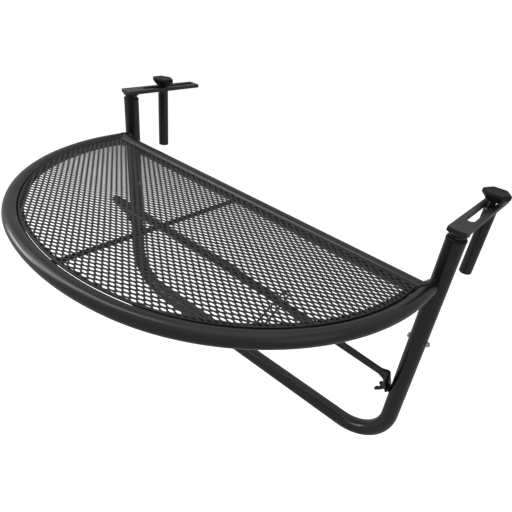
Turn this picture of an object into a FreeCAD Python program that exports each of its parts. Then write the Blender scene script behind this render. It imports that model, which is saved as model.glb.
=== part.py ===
import FreeCAD, Part
import math
import os
import Sketcher
from FreeCAD import Vector, Rotation, Placement

# Half-round table that hangs on a railing. Millimetres, +Z up.
# Origin: midway between the two uprights' axes, at the height of the
# undersides of the clamp plates, which is the top of the railing.
# X runs along the railing, the table reaches out along -Y.

os.makedirs("parts", exist_ok=True)
doc = FreeCAD.newDocument("railing_table")

sheet = doc.addObject("Spreadsheet::Sheet", "Sizes")
SIZES = [
    # uprights and bottom bar, one bent tube
    ("post_half_span", 310.0), ("post_radius", 12.5), ("post_bore", 10.5),
    ("post_top", -10.0), ("bar_height", -390.8), ("bend_radius", 74.0),
    # table top
    ("plane_height", -76.0), ("rim_radius", 10.0), ("rim_bore", 8.5),
    ("rim_half_width", 305.0), ("rim_corner_radius", 277.6),
    ("rim_straight", 47.3), ("rim_front", -328.2), ("rim_end", -11.0),
    ("back_y", -26.6), ("back_radius", 10.0), ("back_bore", 8.5),
    ("border_offset", 10.6), ("border_width", 8.0),
    ("border_thick", 2.1), ("border_height", -70.8),
    ("sheet_thick", 1.5), ("sheet_height", -71.0),
    ("rod_radius", 3.2), ("rod_height", -75.1),
    ("rod_front_x", -8.0), ("rod_rear_x", -4.0),
    # clamp plates
    ("plate_width", 25.0), ("plate_thick", 6.0),
    ("plate_front", -11.0), ("plate_back", 147.0),
    ("slot_width", 10.5), ("slot_front", 25.5), ("slot_back", 140.0),
    # stems that slide in the uprights
    ("stem_radius", 10.0), ("stem_bore", 8.0), ("stem_length", 262.0),
    ("stem_flare", 12.3), ("stem_flare_length", 5.0),
    # guide bushes in the tops of the uprights
    ("bush_radius", 12.8), ("bush_bore", 10.1), ("bush_crown", 10.9),
    ("bush_top", -6.6), ("bush_lip", 0.9), ("bush_depth", 22.0),
    ("stem_slot_width", 4.6), ("stem_slot_low", -249.0),
    ("stem_slot_high", -163.7),
    # rear clamp tubes
    ("tube_radius", 9.0), ("tube_bore", 7.5), ("tube_length", 104.0),
    ("tube_top", -0.1), ("insert_length", 14.0), ("insert_bore", 4.05),
    ("left_clamp_y", 69.9), ("right_clamp_y", 113.1),
    # clamp knobs
    ("clamp_screw_radius", 4.0), ("clamp_screw_low", -26.0),
    ("clamp_screw_high", 17.0), ("knob_across", 38.0),
    ("knob_top", 21.0), ("knob_hub_radius", 10.5),
    ("knob_base", 8.8), ("knob_shoulder", 12.8),
    # height bolts
    ("bolt_radius", 2.0), ("bolt_height", -166.0), ("bolt_across", 7.0),
    ("bolt_head", 2.8), ("bolt_reach", 327.5), ("nut_thick", 3.2),
    ("bolt_hole", 2.2),
    # strut
    ("strut_radius", 5.0), ("strut_bore", 3.5), ("strut_bend", 24.0),
    ("strut_bar_half", 120.0), ("strut_bar_y", -166.3),
    ("strut_bar_z", -83.7), ("strut_foot_x", 293.7),
    ("strut_foot_y", -25.0), ("strut_foot_z", -229.0),
    ("pivot_height", -272.0), ("paddle_width", 17.0),
    ("paddle_thick", 3.6), ("pivot_hole", 3.05),
    ("stud_radius", 3.0), ("stud_inner", 279.5), ("stud_outer", 299.4),
    ("spacer_radius", 6.0), ("spacer_length", 1.7),
    ("strut_washer_radius", 6.25), ("strut_washer_thick", 1.4),
    ("wing_hub", 6.0), ("wing_hub_length", 8.0), ("wing_span", 28.0),
    ("wing_thick", 2.2), ("wing_rise", 13.5),
    # double-wire loop under the rim
    ("wire_radius", 1.25), ("wire_gap", 8.0), ("wire_lift", 0.6),
    ("wire_start", 6.7),
]
for row, (alias, value) in enumerate(SIZES, 1):
    sheet.set("A%d" % row, alias)
    sheet.set("B%d" % row, repr(value))
    sheet.setAlias("B%d" % row, alias)
doc.recompute()


def v(alias):
    return float(getattr(sheet, alias))


kept = []


def keep(obj, name, place=None):
    obj.Label = name
    if place is not None:
        obj.Placement = place
    kept.append((name, obj))
    return obj


def new_body(name):
    body = doc.addObject("PartDesign::Body", "Body_" + name)
    return body


def sketch_on(body, role, name, offset=(0, 0, 0)):
    plane = [f for f in body.Origin.OriginFeatures if f.Role == role][0]
    sk = body.newObject("Sketcher::SketchObject", name)
    sk.AttachmentSupport = [(plane, "")]
    sk.MapMode = "FlatFace"
    sk.AttachmentOffset = Placement(Vector(*offset), Rotation())
    return sk


def line(sk, p, q):
    return sk.addGeometry(Part.LineSegment(Vector(p[0], p[1], 0),
                                           Vector(q[0], q[1], 0)), False)


def circle(sk, cx, cy, alias, body):
    # a circle whose radius follows its cell
    r = v(alias)
    g = sk.addGeometry(Part.Circle(Vector(cx, cy, 0), Vector(0, 0, 1), r), False)
    c = sk.addConstraint(Sketcher.Constraint("Radius", g, r))
    sk.setExpression("Constraints[%d]" % c, "Sizes." + alias)
    if abs(cx) < 1e-9 and abs(cy) < 1e-9:
        sk.addConstraint(Sketcher.Constraint("Coincident", g, 3, -1, 1))
    else:
        for kind, val in (("DistanceX", cx), ("DistanceY", cy)):
            if abs(val) < 1e-9:
                sk.addConstraint(Sketcher.Constraint(
                    "PointOnObject", g, 3, -1 if kind == "DistanceY" else -2))
            else:
                sk.addConstraint(Sketcher.Constraint(kind, -1, 1, g, 3, val))
    return g


def arc3(sk, centre, radius, a0, a1):
    # counter-clockwise arc between two angles in degrees
    base = Part.Circle(Vector(centre[0], centre[1], 0), Vector(0, 0, 1), radius)
    return sk.addGeometry(Part.ArcOfCircle(base, math.radians(a0),
                                           math.radians(a1)), False)


def volume_drop(before, after, name):
    if not after < before - 0.5:
        raise RuntimeError(name + ": the cut removed nothing")


# ---------------------------------------------------------------- U frame
half = v("post_half_span")
bend = v("bend_radius")
low = v("bar_height")
top = v("post_top")

body = new_body("u_frame")
prof = sketch_on(body, "XY_Plane", "UFrameSection", (0, 0, top))
circle(prof, -half, 0, "post_radius", body)
circle(prof, -half, 0, "post_bore", body)
path = sketch_on(body, "XZ_Plane", "UFramePath")
line(path, (-half, top), (-half, low + bend))
arc3(path, (-half + bend, low + bend), bend, 180, 270)
line(path, (-half + bend, low), (half - bend, low))
arc3(path, (half - bend, low + bend), bend, 270, 360)
line(path, (half, low + bend), (half, top))
doc.recompute()
pipe = body.newObject("PartDesign::AdditivePipe", "UFrameTube")
pipe.Profile = prof
pipe.Spine = path
doc.recompute()
vol0 = pipe.Shape.Volume
holes = sketch_on(body, "YZ_Plane", "BoltHoles")
circle(holes, 0, v("bolt_height"), "bolt_hole", body)
cut = body.newObject("PartDesign::Pocket", "BoltHolePocket")
cut.Profile = holes
cut.Type = "ThroughAll"
cut.Midplane = True
doc.recompute()
volume_drop(vol0, cut.Shape.Volume, "bolt holes")
# the pivot studs sit in the inner walls only
studs = sketch_on(body, "YZ_Plane", "StudHoles")
circle(studs, 0, v("pivot_height"), "stud_radius", body)
cut2 = body.newObject("PartDesign::Pocket", "StudHolePocket")
cut2.Profile = studs
cut2.Midplane = True
cut2.setExpression("Length", "2 * Sizes.stud_outer")
vol0 = cut.Shape.Volume
doc.recompute()
volume_drop(vol0, cut2.Shape.Volume, "stud holes")
keep(body, "u_frame")

# ---------------------------------------------------------------- rim
A = v("rim_half_width")
R1 = v("rim_corner_radius")
c1x, c1y = A - R1, -v("rim_straight")
kk = c1y - v("rim_front")
R2 = (c1x ** 2 + kk ** 2 - R1 ** 2) / (2 * (kk - R1))
c2y = v("rim_front") + R2
# where the corner arc meets the front arc
ux, uy = c1x, c1y - c2y
ul = math.hypot(ux, uy)
ux, uy = ux / ul, uy / ul
join_deg = math.degrees(math.atan2(uy, ux))          # below the X axis


def rim_outline(sk, d, y_end, close=False, z=None):
    """The rim's centre line moved inwards by d, from left end to right end."""
    a, ra, rb = A - d, R1 - d, R2 - d
    line(sk, (-a, y_end), (-a, c1y))
    arc3(sk, (-c1x, c1y), ra, 180, 180 - join_deg)
    arc3(sk, (0, c2y), rb, 180 - join_deg, 360 + join_deg)
    arc3(sk, (c1x, c1y), ra, 360 + join_deg, 360)
    line(sk, (a, c1y), (a, y_end))
    if close:
        line(sk, (a, y_end), (-a, y_end))


body = new_body("table_rim")
prof = sketch_on(body, "XZ_Plane", "RimSection", (0, 0, -v("rim_end")))
circle(prof, -A, v("plane_height"), "rim_radius", body)
circle(prof, -A, v("plane_height"), "rim_bore", body)
path = sketch_on(body, "XY_Plane", "RimPath", (0, 0, v("plane_height")))
rim_outline(path, 0.0, v("rim_end"))
doc.recompute()
pipe = body.newObject("PartDesign::AdditivePipe", "RimTube")
pipe.Profile = prof
pipe.Spine = path
doc.recompute()
vol0 = pipe.Shape.Volume
# ends coped to the round of the uprights
cope = sketch_on(body, "XY_Plane", "RimCope")
circle(cope, half, 0, "post_radius", body)
circle(cope, -half, 0, "post_radius", body)
cut = body.newObject("PartDesign::Pocket", "RimCopePocket")
cut.Profile = cope
cut.Type = "ThroughAll"
cut.Midplane = True
doc.recompute()
volume_drop(vol0, cut.Shape.Volume, "rim cope")
keep(body, "table_rim")

# ---------------------------------------------------------------- back tube
body = new_body("back_tube")
prof = sketch_on(body, "YZ_Plane", "BackSection")
circle(prof, v("back_y"), v("plane_height"), "back_radius", body)
circle(prof, v("back_y"), v("plane_height"), "back_bore", body)
pad = body.newObject("PartDesign::Pad", "BackPad")
pad.Profile = prof
pad.Midplane = True
pad.setExpression("Length", "2 * Sizes.rim_half_width - 4")
doc.recompute()
vol0 = pad.Shape.Volume
cope = sketch_on(body, "XZ_Plane", "BackCope")
circle(cope, A, v("plane_height"), "rim_radius", body)
circle(cope, -A, v("plane_height"), "rim_radius", body)
cut = body.newObject("PartDesign::Pocket", "BackCopePocket")
cut.Profile = cope
cut.Type = "ThroughAll"
cut.Midplane = True
doc.recompute()
volume_drop(vol0, cut.Shape.Volume, "back tube cope")
keep(body, "back_tube")

# ---------------------------------------------------------------- mesh ring and sheet
d0 = v("border_offset")
d1 = d0 + v("border_width")
yb = v("back_y") - v("back_radius") - 0.6
mid = v("sheet_height")

body = new_body("mesh_border")
sk = sketch_on(body, "XY_Plane", "BorderOutline", (0, 0, v("border_height")))
rim_outline(sk, d0, yb, close=True)
rim_outline(sk, d1, yb - v("border_width"), close=True)
pad = body.newObject("PartDesign::Pad", "BorderPad")
pad.Profile = sk
pad.Midplane = True
pad.setExpression("Length", "Sizes.border_thick")
keep(body, "mesh_border")

body = new_body("mesh_panel")
sk = sketch_on(body, "XY_Plane", "PanelOutline", (0, 0, mid))
rim_outline(sk, d1, yb - v("border_width"), close=True)
pad = body.newObject("PartDesign::Pad", "PanelPad")
pad.Profile = sk
pad.Midplane = True
pad.setExpression("Length", "Sizes.sheet_thick")
keep(body, "mesh_panel")

# ---------------------------------------------------------------- rod under the sheet
y0 = v("rim_front") + v("rim_radius") + 0.1
y1 = v("back_y") - v("back_radius") - 0.1
p0 = Vector(v("rod_front_x"), y0, v("rod_height"))
p1 = Vector(v("rod_rear_x"), y1, v("rod_height"))
rod = doc.addObject("Part::Cylinder", "CentreRod")
rod.setExpression("Radius", "Sizes.rod_radius")
rod.Height = (p1 - p0).Length
rod.setExpression("Height", "sqrt((Sizes.back_y - Sizes.back_radius - 0.1 - Sizes.rim_front"
                  " - Sizes.rim_radius - 0.1)^2 + (Sizes.rod_rear_x - Sizes.rod_front_x)^2)")
keep(rod, "centre_rod", Placement(p0, Rotation(Vector(0, 0, 1), p1 - p0)))

# ---------------------------------------------------------------- clamp plates
for side, sx in (("left", -1), ("right", 1)):
    body = new_body("slot_plate_" + side)
    sk = sketch_on(body, "XY_Plane", "PlateOutline_" + side)
    w = v("plate_width") / 2
    ya, yz = v("plate_front"), v("plate_back")
    cs = [(-w, ya), (w, ya), (w, yz), (-w, yz)]
    g = [line(sk, cs[i], cs[(i + 1) % 4]) for i in range(4)]
    for i in range(4):
        sk.addConstraint(Sketcher.Constraint("Coincident", g[i], 2, g[(i + 1) % 4], 1))
    sk.addConstraint(Sketcher.Constraint("Vertical", g[1]))
    sk.addConstraint(Sketcher.Constraint("Horizontal", g[2]))
    sk.addConstraint(Sketcher.Constraint("Vertical", g[3]))
    sk.addConstraint(Sketcher.Constraint("Symmetric", g[0], 1, g[0], 2, -2))
    for kind, a_, b_, alias in (("DistanceX", (g[0], 1), (g[0], 2), "Sizes.plate_width"),
                                ("DistanceY", (g[0], 1), (-1, 1), "-Sizes.plate_front"),
                                ("DistanceY", (-1, 1), (g[2], 1), "Sizes.plate_back")):
        val = {"Sizes.plate_width": 2 * w, "-Sizes.plate_front": -ya,
               "Sizes.plate_back": yz}[alias]
        c = sk.addConstraint(Sketcher.Constraint(kind, a_[0], a_[1], b_[0], b_[1], val))
        sk.setExpression("Constraints[%d]" % c, alias)
    pad = body.newObject("PartDesign::Pad", "PlatePad_" + side)
    pad.Profile = sk
    pad.setExpression("Length", "Sizes.plate_thick")
    doc.recompute()
    vol0 = pad.Shape.Volume
    sk = sketch_on(body, "XY_Plane", "PlateSlot_" + side)
    r = v("slot_width") / 2
    sa, sz = v("slot_front") + r, v("slot_back") - r
    arc3(sk, (0, sa), r, 180, 360)
    line(sk, (r, sa), (r, sz))
    arc3(sk, (0, sz), r, 0, 180)
    line(sk, (-r, sz), (-r, sa))
    cut = body.newObject("PartDesign::Pocket", "PlateSlotPocket_" + side)
    cut.Profile = sk
    cut.Type = "ThroughAll"
    cut.Midplane = True
    doc.recompute()
    volume_drop(vol0, cut.Shape.Volume, "plate slot")
    keep(body, "slot_plate_" + side, Placement(Vector(sx * half, 0, 0), Rotation()))

    # stem: turned outline with the weld flare under the plate, then the slot
    body = new_body("stem_" + side)
    sk = sketch_on(body, "XZ_Plane", "StemProfile_" + side)
    ro, ri, L = v("stem_radius"), v("stem_bore"), v("stem_length")
    rf, lf = v("stem_flare"), v("stem_flare_length")
    # hollow fillet between flare and tube
    s1 = Vector(rf, 0, 0)
    s2 = Vector(ro, -lf, 0)
    smid = Vector(ro + (rf - ro) * 0.2, -lf * 0.36, 0)
    line(sk, (ri, 0), (rf, 0))
    sk.addGeometry(Part.Arc(s1, smid, s2), False)
    line(sk, (ro, -lf), (ro, -L))
    line(sk, (ro, -L), (ri, -L))
    line(sk, (ri, -L), (ri, 0))
    rev = body.newObject("PartDesign::Revolution", "StemTurned_" + side)
    rev.Profile = sk
    rev.ReferenceAxis = (sk, ["V_Axis"])
    rev.Angle = 360
    doc.recompute()
    vol0 = rev.Shape.Volume
    sk = sketch_on(body, "YZ_Plane", "StemSlot_" + side)
    r = v("stem_slot_width") / 2
    za, zz = v("stem_slot_low") + r, v("stem_slot_high") - r
    arc3(sk, (0, za), r, 180, 360)
    line(sk, (r, za), (r, zz))
    arc3(sk, (0, zz), r, 0, 180)
    line(sk, (-r, zz), (-r, za))
    cut = body.newObject("PartDesign::Pocket", "StemSlotPocket_" + side)
    cut.Profile = sk
    cut.Type = "ThroughAll"
    cut.Midplane = True
    doc.recompute()
    volume_drop(vol0, cut.Shape.Volume, "stem slot")
    keep(body, "stem_" + side, Placement(Vector(sx * half, 0, 0), Rotation()))

    # guide bush: sleeve in the upright's bore under a crowned collar
    body = new_body("post_bushing_" + side)
    sk = sketch_on(body, "XZ_Plane", "BushProfile_" + side)
    bb, br, bc = v("bush_bore"), v("bush_radius"), v("bush_crown")
    bt, bl, bd = v("bush_top"), v("bush_lip"), v("bush_depth")
    line(sk, (bb, top - bd), (v("post_bore"), top - bd))
    line(sk, (v("post_bore"), top - bd), (v("post_bore"), top))
    line(sk, (v("post_bore"), top), (br, top))
    line(sk, (br, top), (br, top + bl))
    sk.addGeometry(Part.Arc(Vector(br, top + bl, 0),
                            Vector((br + bc) / 2 + 0.25, (top + bl + bt) / 2 + 0.35, 0),
                            Vector(bc, bt, 0)), False)
    line(sk, (bc, bt), (bb, bt))
    line(sk, (bb, bt), (bb, top - bd))
    rev = body.newObject("PartDesign::Revolution", "BushTurned_" + side)
    rev.Profile = sk
    rev.ReferenceAxis = (sk, ["V_Axis"])
    rev.Angle = 360
    keep(body, "post_bushing_" + side, Placement(Vector(sx * half, 0, 0), Rotation()))

    # rear clamp tube
    yc = v(side + "_clamp_y")
    place = Placement(Vector(sx * half, yc, 0), Rotation())
    body = new_body("rear_tube_" + side)
    sk = sketch_on(body, "XY_Plane", "RearTubeSection_" + side, (0, 0, v("tube_top")))
    circle(sk, 0, 0, "tube_radius", body)
    circle(sk, 0, 0, "tube_bore", body)
    pad = body.newObject("PartDesign::Pad", "RearTubePad_" + side)
    pad.Profile = sk
    pad.Reversed = True
    pad.setExpression("Length", "Sizes.tube_length")
    keep(body, "rear_tube_" + side, place)

    # threaded plug in the top of the clamp tube
    body = new_body("tube_insert_" + side)
    sk = sketch_on(body, "XY_Plane", "InsertSection_" + side, (0, 0, v("tube_top")))
    circle(sk, 0, 0, "tube_bore", body)
    circle(sk, 0, 0, "insert_bore", body)
    pad = body.newObject("PartDesign::Pad", "InsertPad_" + side)
    pad.Profile = sk
    pad.Reversed = True
    pad.setExpression("Length", "Sizes.insert_length")
    keep(body, "tube_insert_" + side, place)

    # screw of the knob
    screw = doc.addObject("Part::Cylinder", "ClampScrew_" + side)
    screw.setExpression("Radius", "Sizes.clamp_screw_radius")
    screw.setExpression("Height", "Sizes.clamp_screw_high - Sizes.clamp_screw_low")
    keep(screw, "clamp_bolt_" + side,
         Placement(Vector(sx * half, yc, v("clamp_screw_low")), Rotation()))

    # knob: six rounded lobes, drawn in below to a round hub
    n_pts = 48
    across = v("knob_across")

    def lobed(scale, z, depth):
        pts = []
        for i in range(n_pts):
            a = 2 * math.pi * i / n_pts
            rr = across / 2 * scale * (1 - depth * (1 - math.cos(6 * a)) / 2)
            pts.append(Vector(rr * math.cos(a), rr * math.sin(a), z))
        curve = Part.BSplineCurve()
        curve.interpolate(Points=pts, PeriodicFlag=True)
        return Part.Wire([curve.toShape()])

    def ring_wire(r_, z):
        return Part.Wire([Part.Circle(Vector(0, 0, z), Vector(0, 0, 1), r_).toShape()])

    hub_s = 2 * v("knob_hub_radius") / across
    zb, zs, zt = v("knob_base"), v("knob_shoulder"), v("knob_top")
    lower = Part.makeLoft([lobed(hub_s, zb, 0.0), lobed(1.0, zs, 0.10)], True, True)
    middle = Part.makeLoft([lobed(1.0, zs, 0.10), lobed(1.0, zt - 1.5, 0.10)], True, True)
    upper = Part.makeLoft([lobed(1.0, zt - 1.5, 0.10), lobed(0.93, zt, 0.10)], True, True)
    solid = lower.fuse([middle, upper]).removeSplitter()
    bore = Part.makeCylinder(v("clamp_screw_radius"), v("clamp_screw_high") - zb + 1,
                             Vector(0, 0, zb - 1))
    solid = solid.cut(bore)
    knob = doc.addObject("Part::Feature", "Knob_" + side)
    knob.Shape = solid.Solids[0]
    turn = 4.5 if side == "right" else 32.0
    keep(knob, "knob_" + side,
         Placement(Vector(sx * half, yc, 0), Rotation(Vector(0, 0, 1), turn)))

# ---------------------------------------------------------------- height bolts and nuts
bz = v("bolt_height")
inner_face = half - v("post_radius")
outer_face = half + v("post_radius")


def hex_prism(across_, length, x0, y, z, turn=0.0):
    rr = across_ / math.sqrt(3.0)
    pts = [Vector(x0, y + rr * math.cos(math.radians(60 * i + turn)),
                  z + rr * math.sin(math.radians(60 * i + turn))) for i in range(7)]
    return Part.Face(Part.makePolygon(pts)).extrude(Vector(length, 0, 0))


bolts, nuts = [], []
for sx, turn in ((-1, 12.0), (1, 24.0)):
    head = hex_prism(v("bolt_across"), v("bolt_head"), inner_face - v("bolt_head"), 0, bz, turn)
    shank = Part.makeCylinder(v("bolt_radius"), v("bolt_reach") - inner_face,
                              Vector(inner_face, 0, bz), Vector(1, 0, 0))
    one = head.fuse(shank)
    nut = hex_prism(v("bolt_across"), v("nut_thick"), outer_face, 0, bz, turn + 17.0)
    nut = nut.cut(Part.makeCylinder(v("bolt_radius"), 20, Vector(outer_face - 5, 0, bz),
                                    Vector(1, 0, 0)))
    if sx < 0:
        one = one.mirror(Vector(0, 0, 0), Vector(1, 0, 0))
        nut = nut.mirror(Vector(0, 0, 0), Vector(1, 0, 0))
    bolts.append(one)
    nuts.append(nut)
for name, shapes in (("height_bolts", bolts), ("height_nuts", nuts)):
    obj = doc.addObject("Part::Feature", "Group_" + name)
    obj.Shape = Part.makeCompound(shapes)
    keep(obj, name)

# ---------------------------------------------------------------- strut
V1 = Vector(v("strut_bar_half"), v("strut_bar_y"), v("strut_bar_z"))
V2 = Vector(v("strut_foot_x"), v("strut_foot_y"), v("strut_foot_z"))
pivot = Vector(v("strut_foot_x"), 0, v("pivot_height"))
mirror_x = lambda p: Vector(-p.x, p.y, p.z)
leg = (V2 - V1).normalize()
bar = Vector(1, 0, 0)
turn = math.acos(max(-1, min(1, bar.dot(leg))))
cut_back = v("strut_bend") * math.tan(turn / 2)
ta = V1 - bar * cut_back
tb = V1 + leg * cut_back
bis = (leg - bar).normalize()
centre = V1 + bis * (v("strut_bend") / math.cos(turn / 2))
am = centre - bis * v("strut_bend")
tube_end = V2 - leg * 14.0
edges = [Part.LineSegment(mirror_x(tube_end), mirror_x(tb)).toShape(),
         Part.Arc(mirror_x(tb), mirror_x(am), mirror_x(ta)).toShape(),
         Part.LineSegment(mirror_x(ta), ta).toShape(),
         Part.Arc(ta, am, tb).toShape(),
         Part.LineSegment(tb, tube_end).toShape()]
spine = Part.Wire(edges)
start = mirror_x(tube_end)
start_dir = (mirror_x(tb) - start).normalize()


def swept(radius):
    section = Part.Wire([Part.Circle(start, start_dir, radius).toShape()])
    return spine.makePipeShell([section], True, True)


tube = swept(v("strut_radius"))
core = swept(v("strut_bore"))

# flattened, drilled feet in the plane of the uprights' inner sides
n_pts = 32
foot_dir = (pivot - V2).normalize()


def section_wire(at, direction, a_, b_, power, side_dir):
    """Closed curve across direction: half width a_ along the in-plane side,
    half thickness b_ along X."""
    third = direction.cross(side_dir).normalize()
    side_ = third.cross(direction).normalize()
    pts = []
    for i in range(n_pts):
        t_ = 2 * math.pi * i / n_pts
        c_, s_ = math.cos(t_), math.sin(t_)
        x_ = a_ * math.copysign(abs(c_) ** (2.0 / power), c_)
        y_ = b_ * math.copysign(abs(s_) ** (2.0 / power), s_)
        pts.append(at + side_ * x_ + third * y_)
    curve = Part.BSplineCurve()
    curve.interpolate(Points=pts, PeriodicFlag=True)
    return Part.Wire([curve.toShape()])


pw, pt = v("paddle_width") / 2, v("paddle_thick") / 2
in_plane = foot_dir.cross(Vector(1, 0, 0)).normalize()
leg_side = in_plane
mid_dir = (leg + foot_dir).normalize()
s_0 = section_wire(tube_end - leg * 3.0, leg, 4.3, 4.3, 2.0, leg_side)
s_a = section_wire(tube_end + leg * 0.5, leg, 4.85, 4.85, 2.0, leg_side)
s_b = section_wire(V2 - leg * 6.0, leg, 6.6, 3.6, 2.4, leg_side)
s_c = section_wire(V2 + foot_dir * 4.0, foot_dir, pw, pt, 3.2, in_plane)
foot = Part.makeLoft([s_0, s_a, s_b, s_c], True, False)
# straight flat with a rounded, drilled end
pa = V2 + foot_dir * 3.4
run = (pivot - pa).Length
flat_pts = [pa + in_plane * (pw - 0.15), pivot + in_plane * (pw - 0.15),
            pivot - in_plane * (pw - 0.15), pa - in_plane * (pw - 0.15)]
x_lo = Vector(-pt + 0.05, 0, 0)
plate = Part.Face(Part.makePolygon([p + x_lo for p in flat_pts + flat_pts[:1]]))
plate = plate.extrude(Vector(2 * pt - 0.1, 0, 0))
disc = Part.makeCylinder(pw - 0.15, 2 * pt - 0.1, pivot + x_lo, Vector(1, 0, 0))
foot = foot.fuse([plate, disc])
hole = Part.makeCylinder(v("pivot_hole"), 20, pivot - Vector(10, 0, 0), Vector(1, 0, 0))
foot = foot.cut(hole)
foot_left = foot.mirror(Vector(0, 0, 0), Vector(1, 0, 0))
# the flattened feet close the tube, so its bore is a sealed hollow
whole = tube.fuse([foot, foot_left]).cut(core)
strut = doc.addObject("Part::Feature", "StrutTube")
strut.Shape = whole.Solids[0] if len(whole.Solids) == 1 else whole
keep(strut, "strut")

# ---------------------------------------------------------------- pivot stacks
studs_, spacers_, washers_ = [], [], []
pz = v("pivot_height")
spacer_x1 = inner_face - 0.05
spacer_x0 = spacer_x1 - v("spacer_length")
washer_x1 = v("strut_foot_x") - pt - 0.1
washer_x0 = washer_x1 - v("strut_washer_thick")
for sx in (-1, 1):
    stud = Part.makeCylinder(v("stud_radius"), v("stud_outer") - v("stud_inner"),
                             Vector(v("stud_inner"), 0, pz), Vector(1, 0, 0))
    spacer = Part.makeCylinder(v("spacer_radius"), v("spacer_length"),
                               Vector(spacer_x0, 0, pz), Vector(1, 0, 0))
    spacer = spacer.cut(Part.makeCylinder(v("stud_radius") + 0.05, 40,
                                          Vector(spacer_x0 - 10, 0, pz), Vector(1, 0, 0)))
    washer = Part.makeCylinder(v("strut_washer_radius"), v("strut_washer_thick"),
                               Vector(washer_x0, 0, pz), Vector(1, 0, 0))
    washer = washer.cut(Part.makeCylinder(v("stud_radius") + 0.15, 20,
                                          Vector(washer_x0 - 5, 0, pz), Vector(1, 0, 0)))
    if sx < 0:
        stud = stud.mirror(Vector(0, 0, 0), Vector(1, 0, 0))
        spacer = spacer.mirror(Vector(0, 0, 0), Vector(1, 0, 0))
        washer = washer.mirror(Vector(0, 0, 0), Vector(1, 0, 0))
    studs_.append(stud)
    spacers_.append(spacer)
    washers_.append(washer)
for name, shapes in (("pivot_studs", studs_), ("pivot_spacers", spacers_),
                     ("strut_washers", washers_)):
    obj = doc.addObject("Part::Feature", "Group_" + name)
    obj.Shape = Part.makeCompound(shapes)
    keep(obj, name)

# wing nuts
for side, sx in (("left", -1), ("right", 1)):
    hub_x1 = washer_x0 - 0.1
    hub_r, hub_l = v("wing_hub"), v("wing_hub_length")
    hub = Part.makeCone(hub_r, hub_r * 0.72, hub_l, Vector(hub_x1, 0, pz), Vector(-1, 0, 0))
    wings = []
    for s in (-1, 1):
        reach = v("wing_span") / 2
        rise = v("wing_rise")
        pts = [Vector(hub_x1 - 1.2, s * 2.0, 0), Vector(hub_x1 - 1.2, s * 6.0, 0),
               Vector(hub_x1 - 5.0, s * (reach - 4.0), 0),
               Vector(hub_x1 - rise + 2.5, s * reach, 0),
               Vector(hub_x1 - rise, s * (reach - 1.5), 0),
               Vector(hub_x1 - rise + 1.0, s * (reach - 6.0), 0),
               Vector(hub_x1 - hub_l + 0.8, s * 4.6, 0),
               Vector(hub_x1 - hub_l + 0.8, s * 2.0, 0)]
        face = Part.Face(Part.makePolygon(pts + pts[:1]))
        wing = face.extrude(Vector(0, 0, v("wing_thick")))
        wing.translate(Vector(0, 0, -v("wing_thick") / 2 + pz))
        wings.append(wing)
    nut = hub.fuse(wings)
    nut = nut.cut(Part.makeCylinder(v("stud_radius") + 0.05, 60,
                                    Vector(hub_x1 - 30, 0, pz), Vector(1, 0, 0)))
    spin = 35.0 if side == "right" else 100.0
    nut.rotate(Vector(0, 0, pz), Vector(1, 0, 0), spin)
    if sx < 0:
        nut = nut.mirror(Vector(0, 0, 0), Vector(1, 0, 0))
    obj = doc.addObject("Part::Feature", "WingNut_" + side)
    obj.Shape = nut
    keep(obj, "wing_nut_" + side)

# ---------------------------------------------------------------- double-wire loop
wr = v("wire_radius")
root = Vector(215.0, -252.0, v("plane_height") - 9.0)
tip = Vector(161.0, -111.0, v("plane_height") - 45.0)
run_dir = (tip - root).normalize()
# the loop lies in a plane parallel to the strut's right leg, just above it
over = leg.cross(run_dir).normalize()
if over.z < 0:
    over = over * -1
across_dir = over.cross(run_dir).normalize()
lift = v("strut_radius") + v("wire_radius") + v("wire_lift") - (root - V1).dot(over)
root = root + over * lift + run_dir * v("wire_start")
tip = tip + over * lift
g2 = v("wire_gap") / 2
tip_c = tip - run_dir * g2
wire_pts = [root + across_dir * g2, tip_c + across_dir * g2,
            tip_c + run_dir * g2, tip_c - across_dir * g2, root - across_dir * g2]
wire_path = Part.Wire([Part.LineSegment(wire_pts[0], wire_pts[1]).toShape(),
                       Part.Arc(wire_pts[1], wire_pts[2], wire_pts[3]).toShape(),
                       Part.LineSegment(wire_pts[3], wire_pts[4]).toShape()])
loop_shape = wire_path.makePipeShell(
    [Part.Wire([Part.Circle(wire_pts[0], run_dir, wr).toShape()])], True, True)
loop = doc.addObject("Part::Feature", "StopWire")
loop.Shape = loop_shape
keep(loop, "stop_wire")

# ---------------------------------------------------------------- checks and files
doc.recompute()
bad = [o.Name for o in doc.Objects if "Invalid" in o.State or "Error" in o.State]
if bad:
    raise RuntimeError("failed objects: " + ", ".join(bad))
for name, obj in kept:
    shape = obj.Shape
    if shape.isNull() or not shape.isValid() or not shape.Solids:
        raise RuntimeError("bad shape: " + name)
for name, obj in kept:
    obj.Shape.exportStep("parts/" + name + ".step")
    print(name, len(obj.Shape.Solids), "solids", round(obj.Shape.Volume, 1), "mm3")
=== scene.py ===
import math

import bpy
import numpy as np
from mathutils import Matrix, Vector


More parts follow.
